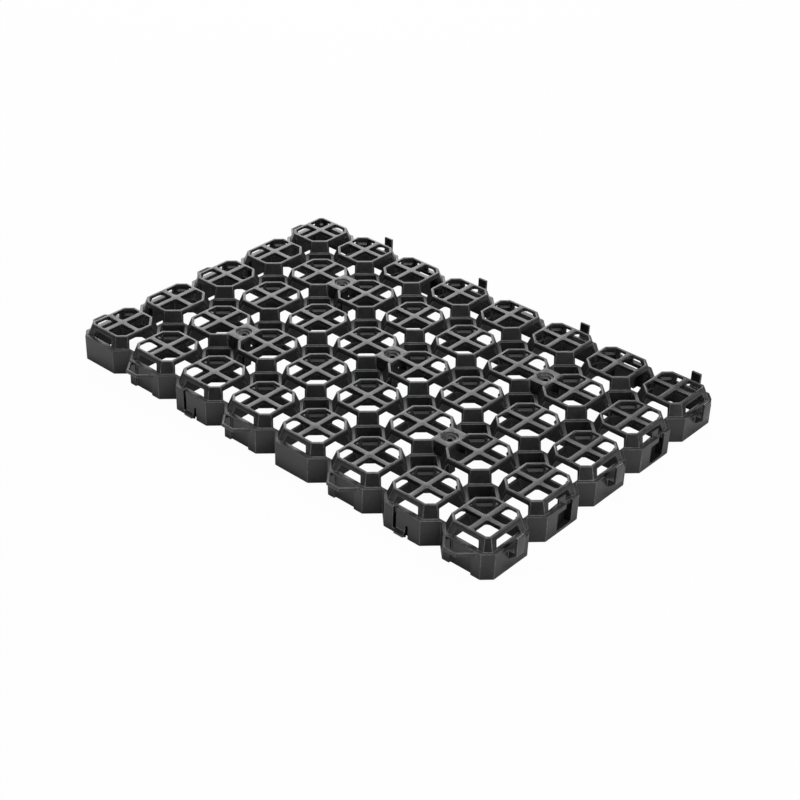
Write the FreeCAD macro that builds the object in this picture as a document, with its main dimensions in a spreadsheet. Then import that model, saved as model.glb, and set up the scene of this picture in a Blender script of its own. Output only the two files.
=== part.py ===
"""Grass paver grid: one moulded plastic plate of open octagonal cells, 8 along and 5 across.

Lengths are millimetres. X runs along the long side and Y along the short one, Z is up. The origin is
the middle of the plate at the level it stands on. Loops on the front and left sides drop over the hooks
on the right and back sides of the next plate.
"""
import FreeCAD
import Part
import Sketcher
import os
import re

NODE = "paver_grid"

SIZES = {
    # The lattice that the cells stand on, and how far the rim stays inside it
    "columns": 8,
    "rows": 5,
    "pitch_x": 75.0,
    "pitch_y": 80.0,
    "edge_inset": 4.6,
    # Heights above the ground
    "plate_height": 43.0,
    "ledge_height": 30.0,
    "sill_height": 18.5,
    # Lower walls, and the upright shafts left where four cells meet
    "wall": 2.6,
    "shared_wall": 3.0,
    "shaft_reach": 19.0,
    # Cap of a cell: it leans in from the ledge to the ring on top, on corner posts as thick as the ring
    "ledge": 3.6,
    "base_inset": 4.4,
    "ring_inset": 9.0,
    "ring_reach": 31.3,
    "ring": 3.3,
    "arm": 5.9,
    "grid_depth": 5.0,
    "jamb": 2.0,
    # Screw plates between two neighbours
    "boss_length": 32.0,
    "dish_radius": 9.0,
    "dish_depth": 2.0,
    "seat_radius": 6.0,
    "seat_depth": 4.0,
    "screw_radius": 2.75,
    # Loops: a strap that bows out from the wall, and the step in the wall behind it
    "loop_from": 24.0,
    "loop_flat_from": 12.0,
    "loop_flat_to": 4.0,
    "loop_to": 17.5,
    "loop_reach": 14.5,
    "loop_strap": 3.0,
    "loop_height": 4.0,
    "loop_drop": 1.0,
    "recess_from": 14.5,
    "recess_to": 11.5,
    "recess": 2.4,
    # Hooks: an upright plate on a shelf, and the notch that lets the strap pass
    "hook_width": 12.0,
    "hook_reach": 10.0,
    "hook_plate": 3.0,
    "hook_drop": 1.0,
    "corbel": 10.5,
    "notch_from": 12.0,
    "notch_to": 27.0,
    "notch_depth": 5.5,
    # Latches: a springy tongue between two slits, with a barb at its foot
    "slit_from": 11.5,
    "slit_to": 7.5,
    "slit_foot": 5.0,
    "short_slit_from": 4.5,
    "short_slit_to": 7.5,
    "short_slit_height": 15.0,
    "barb_foot": 1.8,
    "barb_reach": 3.5,
    "barb_lip": 2.0,
    "barb_height": 8.0,
    # Catches: the opening that takes a barb, and the panel above it
    "catch_from": 8.0,
    "catch_to": 15.0,
    "catch_foot": 3.0,
    "catch_drop": 6.0,
    "catch_slot": 5.0,
    "panel_from": 2.0,
    "panel_to": 9.0,
    "panel_height": 7.4,
    # How far a cut runs past the face that it opens
    "overrun": 1.0,
}

LEDGE_REACH = "(shaft_reach + ledge * sqrt(2))"
ROOM_TOP = "(ledge_height - wall)"
HEAD = "(plate_height - grid_depth)"
SHELF = "(ledge_height - notch_depth)"

# Screw plates: steps from the middle of the plate, in cells
BOSSES = ((-2, -1), (-2, 1), (0, 0), (2, -1), (2, 1))

# Which cells along each side carry which edge piece
LOOPS = {"front": (1, 3, 5, 7), "left": (0, 2, 4)}
LATCHES = {"front": (2, 6), "left": (1, 3)}
HOOKS = {"right": (0, 2, 4), "back": (1, 3, 5, 7)}
CATCHES = {"right": (1, 3), "back": (2, 6)}


def bound(text):
    """The expression with each size written as the sheet's cell."""
    return re.sub(r"[a-z_]+", lambda word: "Sizes." + word[0] if word[0] in SIZES else word[0], text)


def make_sheet():
    made = doc.addObject("Spreadsheet::Sheet", "Sizes")
    for row, (name, size) in enumerate(SIZES.items(), start=1):
        made.set(f"A{row}", name)
        made.set(f"B{row}", str(size))
        made.setAlias(f"B{row}", name)
    doc.recompute()
    return made


doc = FreeCAD.newDocument("paver")
sheet = make_sheet()


def size_now(text):
    return float(sheet.evalExpression(bound(text)))


def drive(thing, **sizes):
    """Bind properties to expressions of the sheet; two underscores in a name stand for a dot."""
    for name, text in sizes.items():
        thing.setExpression(name.replace("__", "."), bound(text))
    return thing


def polygon(body, name, role, height, corners):
    """A closed sketch through corners, each a pair of expressions, on a plane lifted by height."""
    sketch = body.newObject("Sketcher::SketchObject", f"{body.Name}_{name}")
    base = next(face for face in body.Origin.OriginFeatures if face.Role == role)
    sketch.AttachmentSupport = [(base, "")]
    sketch.MapMode = "FlatFace"
    drive(sketch, AttachmentOffset__Base__z=height)
    places = [FreeCAD.Vector(size_now(across), size_now(up), 0) for across, up in corners]
    count = len(places)
    for index, place in enumerate(places):
        sketch.addGeometry(Part.LineSegment(place, places[(index + 1) % count]))
    for index in range(count):
        sketch.addConstraint(Sketcher.Constraint("Coincident", index, 2, (index + 1) % count, 1))
    for index, (across, up) in enumerate(corners):
        for kind, text in (("DistanceX", across), ("DistanceY", up)):
            number = sketch.addConstraint(Sketcher.Constraint(kind, -1, 1, index, 1, size_now(text)))
            sketch.setExpression(f"Constraints[{number}]", bound(text))
    return sketch


def feature(body, kind, sketch, **sizes):
    """A pad or a pocket of the sketch, or a loft from it, as the body's newest feature."""
    made = body.newObject("PartDesign::" + kind, f"{sketch.Name}_{kind.lower()}")
    made.Profile = sketch
    made.Refine = False
    body.Tip = made
    return drive(made, **sizes)


def new_body(name):
    return doc.addObject("PartDesign::Body", name)


def block(name, across, along, up):
    """A box between two expressions on each axis."""
    made = doc.addObject("Part::Box", name)
    sizes = {"Length": across, "Width": along, "Height": up}
    for axis, (side, (low, high)) in zip("xyz", sizes.items()):
        drive(made, **{side: f"({high}) - ({low})", f"Placement__Base__{axis}": low})
    return made


def copy_at(source, name, x, y, turn=0):
    """A linked copy of source, turned about Z and moved to x, y."""
    made = doc.addObject("App::Link", name)
    made.LinkedObject = source
    made.LinkTransform = True
    made.Placement = FreeCAD.Placement(FreeCAD.Vector(), FreeCAD.Rotation(FreeCAD.Vector(0, 0, 1), turn))
    return drive(made, Placement__Base__x=x, Placement__Base__y=y)


def column_x(column):
    return f"({column} - (columns - 1) / 2) * pitch_x"


def row_y(row):
    return f"({row} - (rows - 1) / 2) * pitch_y"


def compound(name, things):
    made = doc.addObject("Part::Compound", name)
    made.Links = things
    return made


def cut(name, base, tool):
    made = doc.addObject("Part::Cut", name)
    made.Base = base
    made.Tool = tool
    made.Refine = False
    return made


def common(name, things):
    made = doc.addObject("Part::MultiCommon", name)
    made.Shapes = things
    made.Refine = False
    return made


def fuse(name, things):
    made = doc.addObject("Part::MultiFuse", name)
    made.Shapes = things
    made.Refine = False
    return made


class Outline:
    """A cell's outline: a rectangle, its sides set in from the lattice, with its corners cut off."""

    def __init__(self, kind, inset, reach):
        place_x, place_y = kind
        self.left = f"(pitch_x / 2 - {self.rim(inset, place_x == 'first')})"
        self.right = f"(pitch_x / 2 - {self.rim(inset, place_x == 'last')})"
        self.front = f"(pitch_y / 2 - {self.rim(inset, place_y == 'first')})"
        self.back = f"(pitch_y / 2 - {self.rim(inset, place_y == 'last')})"
        self.cut = f"((pitch_x + pitch_y) / 2 - {reach})"

    def halves(self):
        return self.left, self.right, self.front, self.back

    def diagonals(self):
        return (f"({self.cut} / sqrt(2))",) * 4

    @staticmethod
    def rim(inset, at_rim):
        inner, outer = inset
        return outer if at_rim else inner

    def corners(self):
        left, right, front, back, cut_off = self.left, self.right, self.front, self.back, self.cut
        return [(right, f"-({cut_off} - {right})"), (right, f"({cut_off} - {right})"),
                (f"({cut_off} - {back})", back), (f"-({cut_off} - {back})", back),
                (f"-{left}", f"({cut_off} - {left})"), (f"-{left}", f"-({cut_off} - {left})"),
                (f"-({cut_off} - {front})", f"-{front}"), (f"({cut_off} - {front})", f"-{front}")]


def rim_inset(inner):
    return inner, f"({inner} + edge_inset)"


def frustum(name, turn, low, high, base, top):
    """A leaning box between two levels, turned about Z; low and high are its half sizes at each level."""
    made = doc.addObject("Part::Wedge", name)
    about_z = FreeCAD.Rotation(FreeCAD.Vector(0, 0, 1), turn)
    y_up = FreeCAD.Rotation(FreeCAD.Vector(1, 0, 0), 90)
    made.Placement = FreeCAD.Placement(FreeCAD.Vector(), about_z * y_up)
    drive(made, Ymin="0", Ymax=f"{top} - {base}", Placement__Base__z=base)
    for level, (left, right, front, back) in (("", low), ("2", high)):
        drive(made, **{f"X{level}min": f"-{left}", f"X{level}max": right,
                       f"Z{level}min": f"-{back}", f"Z{level}max": front})
    return made


def leaning_block(name, low, high, base):
    """An eight-sided block from one outline at base to another at the top of the plate."""
    sides = frustum(name + "_sides", 0, low.halves(), high.halves(), base, "plate_height")
    corners = frustum(name + "_corners", 45, low.diagonals(), high.diagonals(), base, "plate_height")
    return common(name, [sides, corners])


def cross(kind):
    """Two arms that meet in the middle of a ring."""
    body = new_body("cross_" + "_".join(kind))
    ends = Outline(kind, rim_inset("ring_inset"), "0")
    half = "arm / 2"
    less = "-arm / 2"
    left, front = f"-{ends.left}", f"-{ends.front}"
    corners = [(ends.right, less), (ends.right, half), (half, half), (half, ends.back),
               (less, ends.back), (less, half), (left, half), (left, less),
               (less, less), (less, front), (half, front), (half, less)]
    feature(body, "Pad", polygon(body, "arms", "XY_Plane", HEAD, corners), Length="grid_depth")
    return body


def void(kind):
    """The hollow of a cell: upright walls up to the sills, then a room that narrows to the ring."""
    name = "_".join(kind)
    room = new_body("room_" + name)
    low = Outline(kind, ("(shared_wall / 2)", "(edge_inset + wall)"), "(shaft_reach + ring * sqrt(2))")
    high = Outline(kind, rim_inset("(ring_inset + ring)"), "(ring_reach + ring * sqrt(2))")
    feature(room, "Pad", polygon(room, "floor", "XY_Plane", "0", low.corners()), Length="sill_height")
    narrowing = leaning_block("opening_" + name, low, high, "sill_height")
    return fuse("void_" + name, [room, cut("quarters_" + name, narrowing, cross(kind))])


def place_in(index, count):
    return "first" if index == 0 else "last" if index == count - 1 else "inner"


def in_each_cell(make):
    """A copy of what make builds in every cell, of the kind that its place asks for."""
    kinds, placed = {}, []
    columns, rows = SIZES["columns"], SIZES["rows"]
    for column in range(columns):
        for row in range(rows):
            kind = place_in(column, columns), place_in(row, rows)
            if kind not in kinds:
                kinds[kind] = make(kind)
            name = f"{make.__name__}_{column}_{row}"
            placed.append(copy_at(kinds[kind], name, column_x(column), row_y(row)))
    return placed


def cap(kind):
    """The outside of a cell above the ledge: an eight-sided block that leans in to the ring."""
    name = "_".join(kind)
    low = Outline(kind, rim_inset("base_inset"), LEDGE_REACH)
    high = Outline(kind, rim_inset("ring_inset"), "ring_reach")
    return leaning_block("cap_" + name, low, high, "ledge_height")


def shafts():
    """Square holes, set on edge, where the corners of cells meet."""
    half = ("(shaft_reach / sqrt(2))",) * 4
    shaft = frustum("shaft", 45, half, half, "0", "ledge_height")
    return [copy_at(shaft, f"shaft_{column}_{row}", column_x(column - 0.5), row_y(row - 0.5))
            for column in range(SIZES["columns"] + 1) for row in range(SIZES["rows"] + 1)]


def prism(name, role, *parts):
    """A body of sections on one plane, each with the length that it runs to both sides of it."""
    body = new_body(name)
    for number, (section, length) in enumerate(parts):
        sketch = polygon(body, f"section_{number}", role, "0", section)
        feature(body, "Pad", sketch, Length=length).Midplane = True
    return body


def window_half(pitch):
    """Half the width of the opening between two posts, at the ledge and under the ring."""
    middle = f"(pitch_x + pitch_y - {pitch}) / 2"
    return (f"({middle} - {LEDGE_REACH} + base_inset - jamb)",
            f"({middle} - ring_reach + ring_inset - jamb)")


def passage(name, role, pitch, count):
    """The opening between posts along a row or column: down to the ledge at the rim, to a sill inside."""
    low, high = window_half(pitch)
    ledge, sill = "ledge_height", "sill_height"
    window = [(f"-{low}", ledge), (low, ledge), (high, HEAD), (f"-{high}", HEAD)]
    gap = [(f"-{low}", sill), (low, sill), (low, ledge), (f"-{low}", ledge)]
    return prism(name, role, (window, f"{count} * {pitch}"), (gap, f"({count} - 1) * {pitch}"))


def passages():
    """One passage along every row of cells, and one along every column."""
    along_x = passage("row_passage", "YZ_Plane", "pitch_x", "columns")
    along_y = passage("column_passage", "XZ_Plane", "pitch_y", "rows")
    rows = [copy_at(along_x, f"row_passage_{row}", "0", row_y(row)) for row in range(SIZES["rows"])]
    columns = [copy_at(along_y, f"column_passage_{column}", column_x(column), "0")
               for column in range(SIZES["columns"])]
    return rows, columns


def along_side(side, index):
    """The middle of a cell's wall on a side of the plate, and the turn that faces front pieces outward."""
    rim_x = "(columns * pitch_x / 2 - edge_inset)"
    rim_y = "(rows * pitch_y / 2 - edge_inset)"
    return {"front": (column_x(index), f"-{rim_y}", 0), "right": (rim_x, row_y(index), 90),
            "back": (column_x(index), rim_y, 180), "left": (f"-{rim_x}", row_y(index), 270)}[side]


def on_sides(source, sides):
    """Copies of a piece of the front wall at the numbered cells of each side."""
    return [copy_at(source, f"{source.Name}_{side}_{index}", *along_side(side, index))
            for side, cells in sides.items() for index in cells]


# An edge piece is drawn as if on the front wall: X along it, Y inward from its outer face, Z up
ROOT = "wall / 2"


def loop():
    """A strap that leaves the wall, bows out and comes back."""
    body = new_body("loop")
    inner = "(loop_reach - loop_strap)"
    left_run, right_run = "(loop_from - loop_flat_from)", "(loop_to - loop_flat_to)"
    left_shift, right_shift = (f"(loop_strap * sqrt(1 + ({run} / loop_reach) ^ 2))"
                               for run in (left_run, right_run))
    outside = [("-loop_from", ROOT), ("-loop_from", "0"), ("-loop_flat_from", "-loop_reach"),
               ("loop_flat_to", "-loop_reach"), ("loop_to", "0"), ("loop_to", ROOT)]
    inside = [(f"loop_to - {right_shift}", ROOT), (f"loop_to - {right_shift}", "0"),
              (f"loop_to - {right_shift} - {right_run} * {inner} / loop_reach", f"-{inner}"),
              (f"-loop_from + {left_shift} + {left_run} * {inner} / loop_reach", f"-{inner}"),
              (f"-loop_from + {left_shift}", "0"), (f"-loop_from + {left_shift}", ROOT)]
    low = "ledge_height - loop_drop - loop_height"
    feature(body, "Pad", polygon(body, "strap", "XY_Plane", low, outside + inside), Length="loop_height")
    return body


def profile_piece(name, start, length, profile):
    """A piece with one upright section, drawn inward and up, that runs along the wall from start."""
    body = new_body(name)
    feature(body, "Pad", polygon(body, "section", "YZ_Plane", start, profile), Length=length)
    return body


def hook():
    """An upright plate on a shelf that a corbel carries."""
    inner = "-(hook_reach - hook_plate)"
    tip = "plate_height - hook_drop"
    low = f"{SHELF} - corbel"
    section = [(ROOT, low), ("0", low), ("-hook_reach", f"{SHELF} - hook_plate"), ("-hook_reach", tip),
               (inner, tip), (inner, SHELF), (ROOT, SHELF)]
    return profile_piece("hook", "-hook_width / 2", "hook_width", section)


def barb():
    """A wedge at the foot of a latch's tongue."""
    section = [(ROOT, "barb_foot"), ("-barb_reach", "barb_foot"), ("-barb_reach", "barb_foot + barb_lip"),
               ("0", "barb_height"), (ROOT, "barb_height")]
    return profile_piece("barb", "-slit_to", "slit_to + short_slit_from", section)


def outer_pieces():
    """What stands out from the walls: loops, hooks and barbs."""
    return on_sides(loop(), LOOPS) + on_sides(hook(), HOOKS) + on_sides(barb(), LATCHES)


def inner_pieces():
    """What the hollows leave standing: screw plates, walls behind the loops, panels over the catches."""
    backing = block("backing", ("-recess_from - wall", "recess_to + wall"), ("recess", "recess + wall"),
                    ("0", ROOM_TOP))
    panel = block("panel", ("-panel_from", "panel_to"), ("base_inset", "base_inset + wall"),
                  ("ledge_height", "ledge_height + panel_height"))
    return bosses() + on_sides(backing, LOOPS) + on_sides(panel, CATCHES)


def edge_cuts():
    """What is cut from the walls: steps behind loops, notches beside hooks, slits and catches."""
    through = "-overrun", "2 * ledge"
    through_ledge = "-overrun", "ledge"
    over = "ledge_height + overrun"
    cuts = ((LOOPS, ("recess_cut", ("-recess_from", "recess_to"), ("-overrun", "recess"), ("0", ROOM_TOP))),
            (HOOKS, ("notch", ("-notch_from", "notch_to"), through_ledge, (SHELF, over))),
            (LATCHES, ("slit", ("-slit_from", "-slit_to"), through_ledge, ("slit_foot", over))),
            (LATCHES, ("short_slit", ("short_slit_from", "short_slit_to"), through,
                       ("0", "short_slit_height"))),
            (CATCHES, ("catch", ("-catch_from", "catch_to"), through,
                       ("catch_foot", "ledge_height - catch_drop"))),
            (CATCHES, ("catch_slot_cut", ("catch_slot", "catch_to"), through_ledge,
                       ("ledge_height - catch_drop", over))))
    return [copy for sides, sizes in cuts for copy in on_sides(block(*sizes), sides)]


def bosses():
    """Screw plates that bridge two rings, each on two end walls, with a square sleeve down to the ground."""
    across = "-ring_inset - ring / 2", "ring_inset + ring / 2"
    outside = block("boss_block", across, ("-boss_length / 2", "boss_length / 2"),
                    ("sill_height", "plate_height"))
    inside = block("boss_hollow", across, ("-boss_length / 2 + wall", "boss_length / 2 - wall"),
                   ("sill_height", "plate_height - seat_depth - wall"))
    thick = "-screw_radius - wall", "screw_radius + wall"
    sleeve = block("sleeve", thick, thick, ("0", "plate_height - seat_depth"))
    return at_bosses(cut("boss", outside, inside)) + at_bosses(sleeve)


def at_bosses(source):
    return [copy_at(source, f"{source.Name}_{number}", f"{step_x} * pitch_x", f"{step_y} * pitch_y")
            for number, (step_x, step_y) in enumerate(BOSSES, start=1)]


def screw_hole():
    """A stepped dish with a screw hole down through the sleeve, turned about Z."""
    body = new_body("screw_hole")
    seat, dish, top = "plate_height - seat_depth", "plate_height - dish_depth", "plate_height"
    steps = [("0", "0"), ("screw_radius", "0"), ("screw_radius", seat), ("seat_radius", seat),
             ("seat_radius", dish), ("dish_radius", dish), ("dish_radius", top), ("0", top)]
    sketch = polygon(body, "steps", "XZ_Plane", "0", steps)
    turned = feature(body, "Revolution", sketch)
    turned.ReferenceAxis = (sketch, ["V_Axis"])
    return body


def full_block(name, shrink, up):
    """A block over the whole lattice, less shrink all round."""
    half_x, half_y = f"(columns * pitch_x / 2 - {shrink})", f"(rows * pitch_y / 2 - {shrink})"
    return block(name, (f"-{half_x}", half_x), (f"-{half_y}", half_y), up)


def hollows(slab, spared):
    """Each set of cuts that opens the block up, in order; they stop at what is spared."""
    row_passages, column_passages = passages()
    above = full_block("above_ledge", "0", ("ledge_height", "plate_height"))
    caps = compound("caps", in_each_cell(cap))
    yield "between_caps", cut("round_caps", cut("round_spared", above, spared), caps)
    yield "row_passages", cut("row_openings", compound("rows", row_passages), spared)
    yield "column_passages", cut("column_openings", compound("columns", column_passages), spared)
    yield "shafts", common("inner_shafts", [compound("all_shafts", shafts()), slab])
    yield "voids", cut("cell_openings", compound("cells", in_each_cell(void)), spared)


def plate():
    """A full block: its edges first, while it is simple, then the hollows."""
    slab = full_block("slab", "edge_inset", ("0", "plate_height"))
    made = fuse("slab_and_edges", [slab] + outer_pieces())
    for name, tools in (("edge_cuts", edge_cuts()), ("screw_holes", at_bosses(screw_hole()))):
        made = cut("block_less_" + name, made, compound(name, tools))
    for name, hollow in hollows(slab, fuse("spared", inner_pieces())):
        made = cut("block_less_" + name, made, hollow)
    made.Label = NODE
    return made


def check(result):
    for thing in doc.Objects:
        if "Invalid" in thing.State or "Error" in thing.State:
            raise RuntimeError(f"{thing.Name} failed")
    if result.Shape.isNull() or not result.Shape.isValid():
        raise RuntimeError(f"{result.Name} has no sound shape")


paver = plate()
doc.recompute()
check(paver)
os.makedirs("parts", exist_ok=True)
paver.Shape.exportStep(f"parts/{NODE}.step")
print(NODE, "solids", len(paver.Shape.Solids), "faces", len(paver.Shape.Faces), "volume", paver.Shape.Volume)
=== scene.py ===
# %% [markdown]
# # A grass paver grid in Blender
# The object is one plate of black recycled plastic, moulded in a single shot: forty open cells with
# crossed tops. The frame brings the measured solid, in metres, standing on z = 0. This lesson dresses
# that solid as the real moulding looks, lights it softly and puts the camera where the photograph was
# taken from.

# %% Load the measured frame
import math

import bmesh
import bpy
from mathutils import Matrix, Vector


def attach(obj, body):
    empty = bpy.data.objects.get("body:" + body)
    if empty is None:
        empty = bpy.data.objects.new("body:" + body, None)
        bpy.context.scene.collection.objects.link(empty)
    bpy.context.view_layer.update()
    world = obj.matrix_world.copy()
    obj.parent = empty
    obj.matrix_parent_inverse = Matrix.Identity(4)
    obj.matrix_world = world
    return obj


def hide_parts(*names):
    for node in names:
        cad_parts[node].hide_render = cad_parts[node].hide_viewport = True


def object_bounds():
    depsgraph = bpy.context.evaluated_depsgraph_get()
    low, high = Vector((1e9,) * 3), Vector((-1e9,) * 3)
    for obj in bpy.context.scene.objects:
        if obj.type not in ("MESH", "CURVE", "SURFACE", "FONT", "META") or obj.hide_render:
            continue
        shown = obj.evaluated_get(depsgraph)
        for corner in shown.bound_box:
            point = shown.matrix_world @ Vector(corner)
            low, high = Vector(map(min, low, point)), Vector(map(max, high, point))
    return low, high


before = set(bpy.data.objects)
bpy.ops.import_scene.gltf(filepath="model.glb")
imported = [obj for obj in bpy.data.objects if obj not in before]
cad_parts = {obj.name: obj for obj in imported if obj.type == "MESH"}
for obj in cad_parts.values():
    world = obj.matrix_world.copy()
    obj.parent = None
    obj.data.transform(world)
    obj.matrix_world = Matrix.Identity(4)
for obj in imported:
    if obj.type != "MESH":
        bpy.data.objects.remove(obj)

MM = 0.001
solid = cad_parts["paver_grid"]
cad_box = [list(corner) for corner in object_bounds()]
plate_top = max(vertex.co.z for vertex in solid.data.vertices)
print("solid:", len(solid.data.polygons), "faces, top at", round(plate_top / MM, 1), "mm")

# %% [markdown]
# ## Nodes and colours
# A material is a small graph of nodes. Writing each node by hand takes four lines, so one helper adds a
# node, sets its inputs and links it, and another clears out what Blender puts in a new graph. A colour is
# written as a designer would, as an sRGB hex value, and is turned to the linear numbers that Blender's
# sockets expect.

# %% Helpers for nodes and colours
def linear(hex_colour):
    """Linear RGBA of an sRGB hex colour such as #3a3a3b."""
    levels = [int(hex_colour[place:place + 2], 16) / 255 for place in (1, 3, 5)]
    return [level / 12.92 if level <= 0.04045 else ((level + 0.055) / 1.055) ** 2.4
            for level in levels] + [1.0]


def empty_tree(owner):
    """The node tree of a new material or world, with nothing in it yet."""
    owner.use_nodes = True
    owner.node_tree.nodes.clear()
    return owner.node_tree


def node(tree, kind, inputs=None, **settings):
    """Add a node; an input that is a socket is linked, and any other value is set."""
    made = tree.nodes.new("ShaderNode" + kind)
    for name, value in settings.items():
        setattr(made, name, value)
    for name, value in (inputs or {}).items():
        if isinstance(value, bpy.types.NodeSocket):
            tree.links.new(value, made.inputs[name])
        else:
            made.inputs[name].default_value = value
    return made


print("mid grey #808080 is", round(linear("#808080")[0], 3), "in linear light")

# %% [markdown]
# ## The plate's plan
# Forty cells stand in eight columns and five rows. The room inside a cell is eight-sided. It goes
# straight up to the sill of the windows, and from there its walls lean inward up to the ring. Beside the
# rim of the plate it is a little narrower. The walls could be searched for in the mesh, but these few
# measures say plainly where they are, and the details below are placed by them.

# %% Where the cells and their walls are
COLUMNS, ROWS = 8, 5
PITCH_X, PITCH_Y = 75 * MM, 80 * MM
SILL = 18.5 * MM
# From a cell's middle: x and y are where its straight walls stand, a corner's wall runs where x + y is
# the diagonal, and a wall on the rim stands further in by the last value.
AT_SILL = {"x": 36.0 * MM, "y": 38.5 * MM, "diagonal": 53.83 * MM, "rim": 5.7 * MM}
AT_TOP = {"x": 25.2 * MM, "y": 27.7 * MM, "diagonal": 41.53 * MM, "rim": 4.6 * MM}
QUARTERS = [(1, 1), (-1, 1), (-1, -1), (1, -1)]


def cells():
    """Column, row and middle of each cell."""
    for column in range(COLUMNS):
        for row in range(ROWS):
            middle = Vector(((column - (COLUMNS - 1) / 2) * PITCH_X, (row - (ROWS - 1) / 2) * PITCH_Y, 0))
            yield column, row, middle


def room(column, row, quarter, height):
    """Half length, half width and diagonal of a quarter of a cell's room, at a height from the sill up."""
    share = (height - SILL) / (plate_top - SILL)
    size = {name: AT_SILL[name] + (AT_TOP[name] - AT_SILL[name]) * share for name in AT_SILL}
    at_rim_x = column == (COLUMNS - 1 if quarter[0] > 0 else 0)
    at_rim_y = row == (ROWS - 1 if quarter[1] > 0 else 0)
    return size["x"] - at_rim_x * size["rim"], size["y"] - at_rim_y * size["rim"], size["diagonal"]


print("cells:", len(list(cells())))

# %% [markdown]
# ## Shafts that narrow toward the ground
# A core of the mould makes each open shaft where four cells meet, and it has to slip out upward. So the
# shaft narrows toward the ground, which is why much of the ground shows through the caps. In the solid
# the shafts are straight. Sloping walls could be added inside them, but it is simpler to pull the tips of
# each shaft's foot toward its middle, in a copy of the mesh. The half shafts on the rim stay straight.

# %% A welded copy with narrowing shafts
WELD = 0.001 * MM
FOOT = 0.1 * MM
# In plan a shaft is a diamond. Its points lie within this sum of x and y from its middle, and those that
# are further out than the second value, along x or y, are its tips.
SHAFT_WALL = 24 * MM
SHAFT_TIP = 15 * MM
NARROWING = 9.5 * MM


def narrow_shafts(work):
    """Pull the feet of the inner shafts toward their middles and return how many points moved."""
    moved = 0
    for vertex in work.verts:
        across = round(vertex.co.x / PITCH_X)
        along = math.floor(vertex.co.y / PITCH_Y) + 0.5
        inner = abs(across) < COLUMNS / 2 and abs(along) < ROWS / 2
        off_x, off_y = vertex.co.x - across * PITCH_X, vertex.co.y - along * PITCH_Y
        if vertex.co.z > FOOT or not inner or abs(off_x) + abs(off_y) > SHAFT_WALL:
            continue
        for axis, off in enumerate((off_x, off_y)):
            if abs(off) > SHAFT_TIP:
                vertex.co[axis] -= math.copysign(NARROWING, off)
                moved += 1
    return moved


work = bmesh.new()
work.from_mesh(solid.data)
# This mark says where the material paints the edges paler: partly wear, partly a painted highlight.
wear_and_highlight = work.faces.layers.float.new("edge_wear_and_highlight")
bmesh.ops.remove_doubles(work, verts=work.verts, dist=WELD)
print("shaft points moved:", narrow_shafts(work))

# %% [markdown]
# ## Soft edges
# No moulded edge is truly sharp: the steel of the tool is polished to a small radius, and that radius
# draws the thin bright lines along the posts and rings. A Bevel modifier would give it, but here the mesh
# itself is cut back, by about half a millimetre, because the strips that this leaves can then be marked.
# Handling and stacking burnish the plastic there; the material paints the strips paler, partly wear and
# partly painted highlight.

# %% Cut the edges back
EDGE_RADIUS = 0.55 * MM
SHARP = math.radians(15)


def soften(work, wear_and_highlight):
    """Cut back every sharp edge, mark the strips for wear and painted highlight, and keep them in the
    solid's box.
    """
    edges = [edge for edge in work.edges if edge.is_manifold and edge.calc_face_angle() > SHARP]
    strips = bmesh.ops.bevel(work, geom=edges, offset=EDGE_RADIUS, offset_type="OFFSET", segments=1,
                             profile=0.5, affect="EDGES", clamp_overlap=False)["faces"]
    # Strips marked here are painted paler: partly wear, partly a painted highlight.
    for face in strips:
        face[wear_and_highlight] = 1.0
    for vertex in work.verts:
        for axis in range(3):
            vertex.co[axis] = min(max(vertex.co[axis], cad_box[0][axis]), cad_box[1][axis])
    for face in work.faces:
        face.smooth = True
    return len(edges)


print("soft edges:", soften(work, wear_and_highlight))

# %% [markdown]
# ## Rounded hole corners
# The quarter holes of each cap are rounded where arms and ring meet, because a milling cutter made the
# steel that forms them and because plastic flows better round a bend. Rounding the hollow edges
# themselves makes lumps where several of them meet. So each corner is filled with a small upright piece
# whose open side is a hollow arc. It reaches a little into its two walls, and its top edge is cut back
# like the others.

# %% Fill the corners of the holes
ARM_HALF = 2.95 * MM
ARM_UNDERSIDE = 38 * MM
HOLE_RADIUS = 2.8 * MM
ARC_STEPS = 4
# A piece bites into its wall, and stays a hair away from a face that it would otherwise coincide with.
BITE = 0.6 * MM
HAIR = 0.01 * MM


def stack(details, outlines, smooth):
    """A closed solid through outlines with the same number of points, from the lowest up."""
    rings = [[details.verts.new(point) for point in outline] for outline in outlines]
    faces = [details.faces.new(rings[0][::-1]), details.faces.new(rings[-1])]
    for low, high in zip(rings, rings[1:]):
        for here in range(len(low)):
            faces.append(details.faces.new((low[here - 1], low[here], high[here], high[here - 1])))
    for face in faces:
        face.smooth = smooth


def corner_outline(corner, first, second, height, cut_back):
    """Plan of a corner's filling: a hollow arc between two walls, and the part inside the walls."""
    centre = corner + HOLE_RADIUS * (first + second)
    points = []
    for step in range(ARC_STEPS + 1):
        turn = math.pi / 2 * step / ARC_STEPS
        toward = math.cos(turn) * first + math.sin(turn) * second
        points.append(centre - (HOLE_RADIUS + cut_back) * toward)
    points += [corner + HOLE_RADIUS * first - BITE * second, corner - BITE * (first + second),
               corner + HOLE_RADIUS * second - BITE * first]
    return [Vector((point.x, point.y, height)) for point in points]


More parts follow.
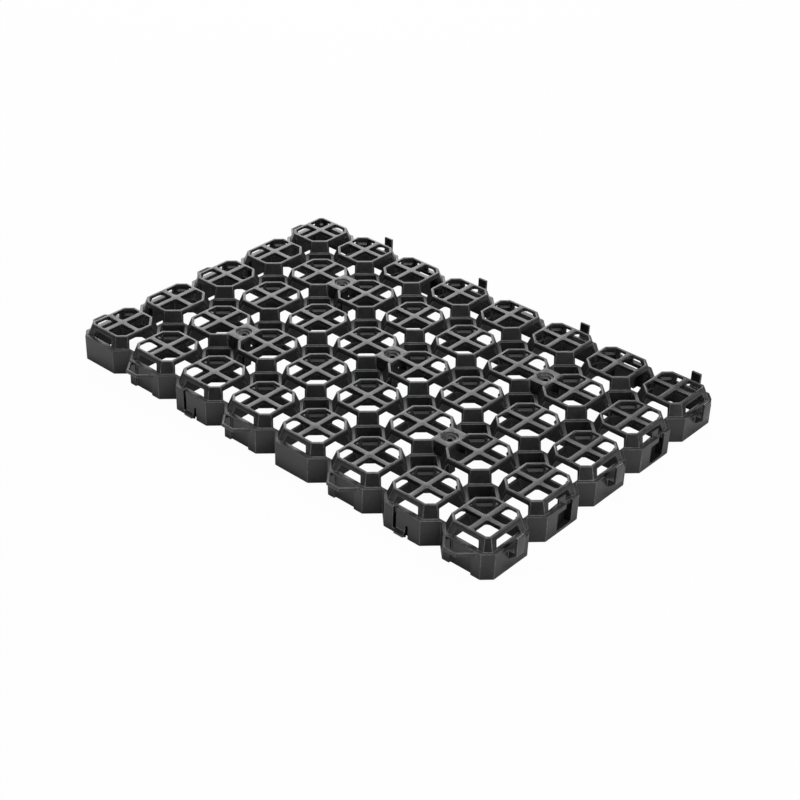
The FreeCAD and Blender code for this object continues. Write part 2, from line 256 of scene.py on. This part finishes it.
def fill_hole_corners(details):
    """Round the three square corners of every quarter hole: one between the arms, two at the ring."""
    levels = ((ARM_UNDERSIDE, 0), (plate_top - EDGE_RADIUS, 0), (plate_top - HAIR, EDGE_RADIUS))
    for column, row, middle in cells():
        for quarter in QUARTERS:
            out_x, out_y = Vector((quarter[0], 0, 0)), Vector((0, quarter[1], 0))
            for at_ring_x, at_ring_y in ((False, False), (True, False), (False, True)):
                first = -out_x if at_ring_x else out_x
                second = -out_y if at_ring_y else out_y
                outlines = []
                for height, cut_back in levels:
                    half_x, half_y, _ = room(column, row, quarter, height)
                    corner = (middle + out_x * (half_x if at_ring_x else ARM_HALF)
                              + out_y * (half_y if at_ring_y else ARM_HALF))
                    outlines.append(corner_outline(corner, first, second, height, cut_back))
                stack(details, outlines, smooth=True)


details = bmesh.new()
fill_hole_corners(details)
print("faces of the filled corners:", len(details.faces))

# %% [markdown]
# ## Shelves inside the corner posts
# Looking down into a cell, a short pale shelf shows on each corner post, a few millimetres under the
# ring, as if the post's wall grew thicker there to carry the ring. The wall's face could be cut and
# pushed out, but a wedge set against it is simpler: its upper side slopes toward the middle of the cell,
# so that it catches the light, and below it runs out down the wall.

# %% Add the shelves
# Heights of the upper side, at the wall and at its free edge, and of the wedge's foot.
SHELF_BACK, SHELF_FRONT, SHELF_FOOT = 36.5 * MM, 34 * MM, 27 * MM
SHELF_LENGTH, SHELF_DEPTH = 18 * MM, 3.2 * MM
MITRE = 1.7 * MM


def post_wall(column, row, quarter, height):
    """Middle and half length of the inner side of a corner post, from the cell's middle, at a height."""
    half_x, half_y, diagonal = room(column, row, quarter, height)
    out_x = quarter[0] * (half_x + diagonal - half_y) / 2
    out_y = quarter[1] * (half_y + diagonal - half_x) / 2
    return Vector((out_x, out_y, height)), (half_x + half_y - diagonal) / math.sqrt(2)


def add_shelves(details):
    """A wedge across every corner of every room."""
    for column, row, middle in cells():
        for quarter in QUARTERS:
            inward = Vector((-quarter[0], -quarter[1], 0)).normalized()
            tangent = Vector((-inward.y, inward.x, 0))
            corners = []
            for height, depth, mitre in ((SHELF_FOOT, -BITE, 0), (SHELF_FOOT, HAIR, MITRE),
                                         (SHELF_BACK, -BITE, 0), (SHELF_FRONT, SHELF_DEPTH, MITRE)):
                wall, reach = post_wall(column, row, quarter, height)
                half = min(SHELF_LENGTH / 2, reach) - mitre
                point = middle + wall + depth * inward
                corners.append((point - half * tangent, point + half * tangent))
            foot_back, foot_front, back, front = corners
            stack(details, [[*foot_back, *foot_front[::-1]], [*back, *front[::-1]]], smooth=False)


add_shelves(details)
print("faces with shelves:", len(details.faces))

# %% [markdown]
# ## Walls behind the catches and latches
# A latch is a springy tongue with a barb, and a catch takes the barb of the next plate. In the photograph
# the slits and openings are dark, so something closes them from behind. Behind a catch that is a shallow
# pocket, open above: a back, a foot and two cheeks. Behind a latch it is one plain wall, far enough away
# for the tongue to spring. Plain boxes are enough for both, because little of them shows.

# %% Close the catches and latches from behind
OUTWARD = {"front": Vector((0, -1, 0)), "right": Vector((1, 0, 0)),
           "back": Vector((0, 1, 0)), "left": Vector((-1, 0, 0))}
# Column and row of the cell, and the side of the plate that it is on.
CATCHES = {(7, 1): "right", (7, 3): "right", (2, 4): "back", (6, 4): "back"}
LATCHES = {(2, 0): "front", (6, 0): "front", (0, 1): "left", (0, 3): "left"}
# Reach along the wall, from the cell's middle, then heights, then depths behind the wall.
CATCH_FROM, CATCH_TO = -8 * MM, 15 * MM
LATCH_FROM, LATCH_TO = -18 * MM, 14 * MM
POCKET_FOOT, POCKET_TOP = 3 * MM, 24 * MM
LATCH_FOOT, LATCH_TOP = 0.5 * MM, 28 * MM
POCKET_DEPTH, LATCH_SPRING, CLOSING_WALL = 6 * MM, 1.5 * MM, 2 * MM


def wall_box(details, place, side, span, depths, heights):
    """A box behind a rim wall of one cell: along the wall, inward from its inner face, and up."""
    column, row, middle = next(cell for cell in cells() if cell[:2] == place)
    out = OUTWARD[side]
    along = Vector((-out.y, out.x, 0))
    quarter = (1, 1) if side in ("right", "back") else (-1, -1)
    half_x, half_y, _ = room(column, row, quarter, SILL)
    half = half_x if out.x else half_y
    plan = [middle + along * span[first] + out * (half - depths[second])
            for first, second in ((0, 0), (1, 0), (1, 1), (0, 1))]
    stack(details, [[point + Vector((0, 0, height)) for point in plan] for height in heights], smooth=False)


pocket_span = (CATCH_FROM - CLOSING_WALL, CATCH_TO + CLOSING_WALL)
pocket_back = POCKET_DEPTH + CLOSING_WALL
pocket_heights = (POCKET_FOOT, POCKET_TOP)
foot_heights = (POCKET_FOOT - CLOSING_WALL, POCKET_FOOT)
for place, side in CATCHES.items():
    wall_box(details, place, side, pocket_span, (-BITE, pocket_back), foot_heights)
    wall_box(details, place, side, pocket_span, (POCKET_DEPTH, pocket_back), pocket_heights)
    wall_box(details, place, side, (pocket_span[0], CATCH_FROM), (-BITE, POCKET_DEPTH), pocket_heights)
    wall_box(details, place, side, (CATCH_TO, pocket_span[1]), (-BITE, POCKET_DEPTH), pocket_heights)
for place, side in LATCHES.items():
    wall_box(details, place, side, (LATCH_FROM, LATCH_TO), (LATCH_SPRING, LATCH_SPRING + CLOSING_WALL),
             (LATCH_FOOT, LATCH_TOP))
print("faces with closing walls:", len(details.faces))

# %% [markdown]
# ## The dressed plate
# The details could stay objects of their own, but the real plate is one moulding. So they join the worked
# copy, which becomes one object that rides on the root body and stands for the solid. Normals weighted by
# area keep the flats flat and round the strips between them.

# %% Make the plate
bmesh.ops.recalc_face_normals(details, faces=details.faces)
mesh = bpy.data.meshes.new("soft_plate")
details.to_mesh(mesh)
work.from_mesh(mesh)
work.to_mesh(mesh)
details.free()
work.free()
plate = bpy.data.objects.new("soft_plate", mesh)
plate.matrix_world = solid.matrix_world
bpy.context.scene.collection.objects.link(plate)
plate.modifiers.new("flat_faces", "WEIGHTED_NORMAL").keep_sharp = True
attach(plate, "root")
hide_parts("paver_grid")
print("soft plate:", sum(len(face.vertices) - 2 for face in plate.data.polygons), "triangles")

# %% [markdown]
# ## Recycled polyethylene, injection moulded
# Regrind of mixed dark plastics is moulded black. It leaves the tool with a low sheen, a faint mottle
# where the melt flowed and mixed, and a fine grain from the eroded steel. Painted maps could show that,
# but noise at three real scales needs no picture and fits any part of the plate: cloudy flow marks some
# 30 mm across, specks of about 4 mm, and grain of about 0.9 mm. Specks and grain also make the surface
# slightly uneven. The grain of a real tool is finer still, and is drawn this coarse so that it shows.
# Along its edges it is smoother and painted paler in patches: rubbed as plates are stacked and carried, and
# a painted highlight.

# %% The plate's plastic
# Real size of each mark, and how many finer layers its noise has.
MARKS = {"flow": (30 * MM, 4.0), "speck": (4 * MM, 3.0), "grain": (0.9 * MM, 2.0)}
MARK_ROUGHNESS = 0.6
MOTTLE_FROM, MOTTLE_TO = 0.7, 1.3
# The rubbed edge colour is partly wear and partly a painted highlight on the edge strips.
DARK_MELT, PALE_MELT, RUBBED_AND_HIGHLIT_EDGE = linear("#161617"), linear("#262627"), linear("#6a6a6b")
SMOOTH_MELT, ROUGH_MELT, SMOOTH_EDGE = 0.30, 0.44, 0.26
POLYETHYLENE_IOR = 1.51
GRAIN_DEPTH, GRAIN_STRENGTH = 0.12 * MM, 0.5


def recycled_polyethylene():
    """Black moulded plastic of a low sheen, with flow marks, specks, a fine grain and paler edges of wear
    and painted highlight.
    """
    made = bpy.data.materials.new("recycled_polyethylene_moulded")
    tree = empty_tree(made)
    place = node(tree, "TexCoord").outputs["Object"]
    marks = {}
    for name, (size, layers) in MARKS.items():
        marks[name] = node(tree, "TexNoise", {"Vector": place, "Scale": 1 / size, "Detail": layers,
                                              "Roughness": MARK_ROUGHNESS}).outputs["Fac"]
    mottle = node(tree, "Math", {0: marks["flow"], 1: marks["speck"]}, operation="ADD").outputs[0]
    shade = node(tree, "MapRange", {"Value": mottle, "From Min": MOTTLE_FROM,
                                    "From Max": MOTTLE_TO}).outputs["Result"]
    melt = node(tree, "Mix", {"Factor": shade, "A": DARK_MELT, "B": PALE_MELT},
                data_type="RGBA").outputs["Result"]
    melt_rough = node(tree, "MapRange", {"Value": mottle, "From Min": MOTTLE_FROM, "From Max": MOTTLE_TO,
                                         "To Min": SMOOTH_MELT, "To Max": ROUGH_MELT}).outputs["Result"]
    # The edge strips are painted paler in patches: partly wear, partly a painted highlight.
    edge = node(tree, "Attribute", attribute_name="edge_wear_and_highlight").outputs["Fac"]
    rubbed_and_highlit = node(tree, "Math", {0: edge, 1: shade}, operation="MULTIPLY").outputs[0]
    colour = node(tree, "Mix", {"Factor": rubbed_and_highlit, "A": melt, "B": RUBBED_AND_HIGHLIT_EDGE},
                  data_type="RGBA").outputs["Result"]
    rough = node(tree, "Mix", {"Factor": rubbed_and_highlit, "A": melt_rough, "B": SMOOTH_EDGE}).outputs["Result"]
    uneven = node(tree, "Math", {0: marks["grain"], 1: marks["speck"]}, operation="ADD").outputs[0]
    bump = node(tree, "Bump", {"Height": uneven, "Strength": GRAIN_STRENGTH,
                               "Distance": GRAIN_DEPTH}).outputs["Normal"]
    shader = node(tree, "BsdfPrincipled", {"Base Color": colour, "Roughness": rough,
                                           "IOR": POLYETHYLENE_IOR, "Normal": bump})
    node(tree, "OutputMaterial", {"Surface": shader.outputs["BSDF"]})
    return made


plastic = recycled_polyethylene()
plate.data.materials.append(plastic)
print("material:", plastic.name)

# %% [markdown]
# ## The pale floor
# The photograph is a cut-out on white. More light could bring a floor to white, but it would bleach the
# plate too. So the floor glows white for the camera, and a trace of its matt surface stays in to take
# the plate's shadow. The sheen of the outer walls mirrors the white around the plate as well. Under the
# plate the ground lies in shade, and the inner walls that mirror it are dark, so for sheen the floor
# glows only on a strip around the plate.

# %% Floor
FLOOR_SIZE = 8.0
HALF_LENGTH, HALF_WIDTH = COLUMNS * PITCH_X / 2, ROWS * PITCH_Y / 2
STRIP, STRIP_BLUR = 110 * MM, 20 * MM
# Share of the glow in what the camera sees; the rest is the matt floor.
FLOOR_GLOW = 0.97
WHITE, PALE = linear("#ffffff"), linear("#e6e6e6")


def seen_white(tree, in_sheen):
    """Where a ray sees white: from the camera or through glass, and in sheen by the share given."""
    path = node(tree, "LightPath").outputs
    direct = node(tree, "Math", {0: path["Is Camera Ray"], 1: path["Is Transmission Ray"]},
                  operation="MAXIMUM").outputs[0]
    sheen = node(tree, "Math", {0: path["Is Glossy Ray"], 1: in_sheen}, operation="MULTIPLY").outputs[0]
    return node(tree, "Math", {0: direct, 1: sheen}, operation="MAXIMUM").outputs[0]


def outside(tree, margin):
    """1 beyond the plate and a margin around it, and 0 within, with a blurred border."""
    place = node(tree, "SeparateXYZ", {0: node(tree, "TexCoord").outputs["Object"]}).outputs
    beyond = []
    for axis, half in (("X", HALF_LENGTH + margin), ("Y", HALF_WIDTH + margin)):
        away = node(tree, "Math", {0: place[axis]}, operation="ABSOLUTE").outputs[0]
        beyond.append(node(tree, "MapRange", {"Value": away, "From Min": half,
                                              "From Max": half + STRIP_BLUR}).outputs["Result"])
    return node(tree, "Math", {0: beyond[0], 1: beyond[1]}, operation="MAXIMUM").outputs[0]


def pale_floor():
    """A matt ground that glows white for the camera, and for sheen on a strip around the plate."""
    made = bpy.data.materials.new("pale_floor")
    tree = empty_tree(made)
    off_plate, off_strip = outside(tree, 0), outside(tree, STRIP)
    strip = node(tree, "Math", {0: off_plate, 1: off_strip}, operation="SUBTRACT").outputs[0]
    share = node(tree, "Math", {0: seen_white(tree, strip), 1: FLOOR_GLOW}, operation="MULTIPLY").outputs[0]
    matt = node(tree, "BsdfDiffuse", {"Color": PALE}).outputs["BSDF"]
    glow = node(tree, "Emission", {"Color": WHITE, "Strength": 1.0}).outputs["Emission"]
    both = node(tree, "MixShader", {0: share, 1: matt, 2: glow}).outputs["Shader"]
    node(tree, "OutputMaterial", {"Surface": both})
    return made


bpy.ops.mesh.primitive_plane_add(size=FLOOR_SIZE)
floor = bpy.context.object
floor.name = "floor"
floor.data.materials.append(pale_floor())
print("floor:", FLOOR_SIZE, "m on each side")

# %% [markdown]
# ## Lamps
# The photograph has soft light without hard shadows. A sun would draw sharp ones, so square softboxes
# light the plate. A broad one stands low on the far side, so that the top faces catch its sheen. One on
# the right and one above bring the light to a plain level, and two small ones near the ground draw bright
# lines along the posts.

# %% Softboxes
def bearing(azimuth, elevation):
    """Direction from the plate's middle, by degrees round from the front toward the right, and up."""
    turn, lift = math.radians(azimuth), math.radians(elevation)
    return Vector((math.sin(turn) * math.cos(lift), -math.cos(turn) * math.cos(lift), math.sin(lift)))


def softbox(name, azimuth, elevation, distance, size, power):
    """A square lamp at a bearing from the plate, facing its middle; in degrees, metres and watts."""
    lamp = bpy.data.lights.new(name, "AREA")
    lamp.shape = "SQUARE"
    lamp.size = size
    lamp.energy = power
    made = bpy.data.objects.new(name, lamp)
    away = bearing(azimuth, elevation)
    made.location = away * distance
    made.rotation_euler = away.to_track_quat("Z", "Y").to_euler()
    bpy.context.scene.collection.objects.link(made)


softbox("softbox_far", azimuth=229, elevation=24, distance=2.6, size=2.0, power=46)
softbox("softbox_right", azimuth=95, elevation=40, distance=2.5, size=1.6, power=24)
softbox("softbox_top", azimuth=0, elevation=88, distance=2.4, size=1.0, power=18)
softbox("low_box_front", azimuth=2, elevation=7, distance=2.2, size=0.5, power=6)
softbox("low_box_right", azimuth=86, elevation=7, distance=2.2, size=0.5, power=6)

# %% [markdown]
# ## Sky
# A studio has white walls that fill the shadows a little. A backdrop could stand around the plate, but
# the world does the same from all sides. It gives little light, is white to the camera, and only its
# ceiling is white in sheen, because white walls mirrored in the posts would make them too pale.

# %% World and view
AMBIENT = 0.1
# Sine of the elevation at which the ceiling begins, and from which it is fully white.
CEILING_FROM, CEILING_TO = 0.6, 0.9


def studio_sky():
    """A dim even sky that is white to the camera, and whose ceiling is white in sheen too."""
    made = bpy.data.worlds.new("studio_white")
    tree = empty_tree(made)
    upward = node(tree, "SeparateXYZ", {0: node(tree, "TexCoord").outputs["Generated"]}).outputs["Z"]
    ceiling = node(tree, "MapRange", {"Value": upward, "From Min": CEILING_FROM,
                                      "From Max": CEILING_TO}).outputs["Result"]
    level = node(tree, "MapRange", {"Value": seen_white(tree, ceiling), "To Min": AMBIENT,
                                    "To Max": 1.0}).outputs["Result"]
    sky = node(tree, "Background", {"Color": WHITE, "Strength": level})
    node(tree, "OutputWorld", {"Surface": sky.outputs["Background"]})
    return made


bpy.context.scene.world = studio_sky()
bpy.context.scene.view_settings.view_transform = "Standard"
print("world:", bpy.context.scene.world.name)

# %% [markdown]
# ## The photograph's camera
# A camera could be set by eye, but small errors would show in forty cells at once. So the corners of the
# forty rings were matched to the photograph by least squares. That gave the focal length in pixels of the
# 800-pixel frame, the distance, the bearing and a slight roll. The aim lies on the plate's top.

# %% Camera
FRAME_PIXELS = 800
FOCAL_PIXELS = 1652.7
# Blender counts the sensor and the lens in millimetres.
SENSOR = 36.0
AIM = Vector((68 * MM, -64 * MM, plate_top))
DISTANCE = 1732 * MM
AZIMUTH, ELEVATION, ROLL = 40.44, 32.79, -2.02

back = bearing(AZIMUTH, ELEVATION)
right = Vector((math.cos(math.radians(AZIMUTH)), math.sin(math.radians(AZIMUTH)), 0))
up = back.cross(right)
roll = math.radians(ROLL)
turned_right = math.cos(roll) * right - math.sin(roll) * up
turned_up = math.sin(roll) * right + math.cos(roll) * up
lens = bpy.data.cameras.new("photo_camera")
lens.sensor_fit = "HORIZONTAL"
lens.sensor_width = SENSOR
lens.lens = FOCAL_PIXELS / FRAME_PIXELS * SENSOR
camera = bpy.data.objects.new("photo_camera", lens)
facing = Matrix((turned_right, turned_up, back)).transposed().to_4x4()
camera.matrix_world = Matrix.Translation(AIM + DISTANCE * back) @ facing
bpy.context.scene.collection.objects.link(camera)
bpy.context.scene.camera = camera
standing = [round(value / MM) for value in camera.matrix_world.translation]
print("camera at", standing, "mm, lens", round(lens.lens, 1), "mm")
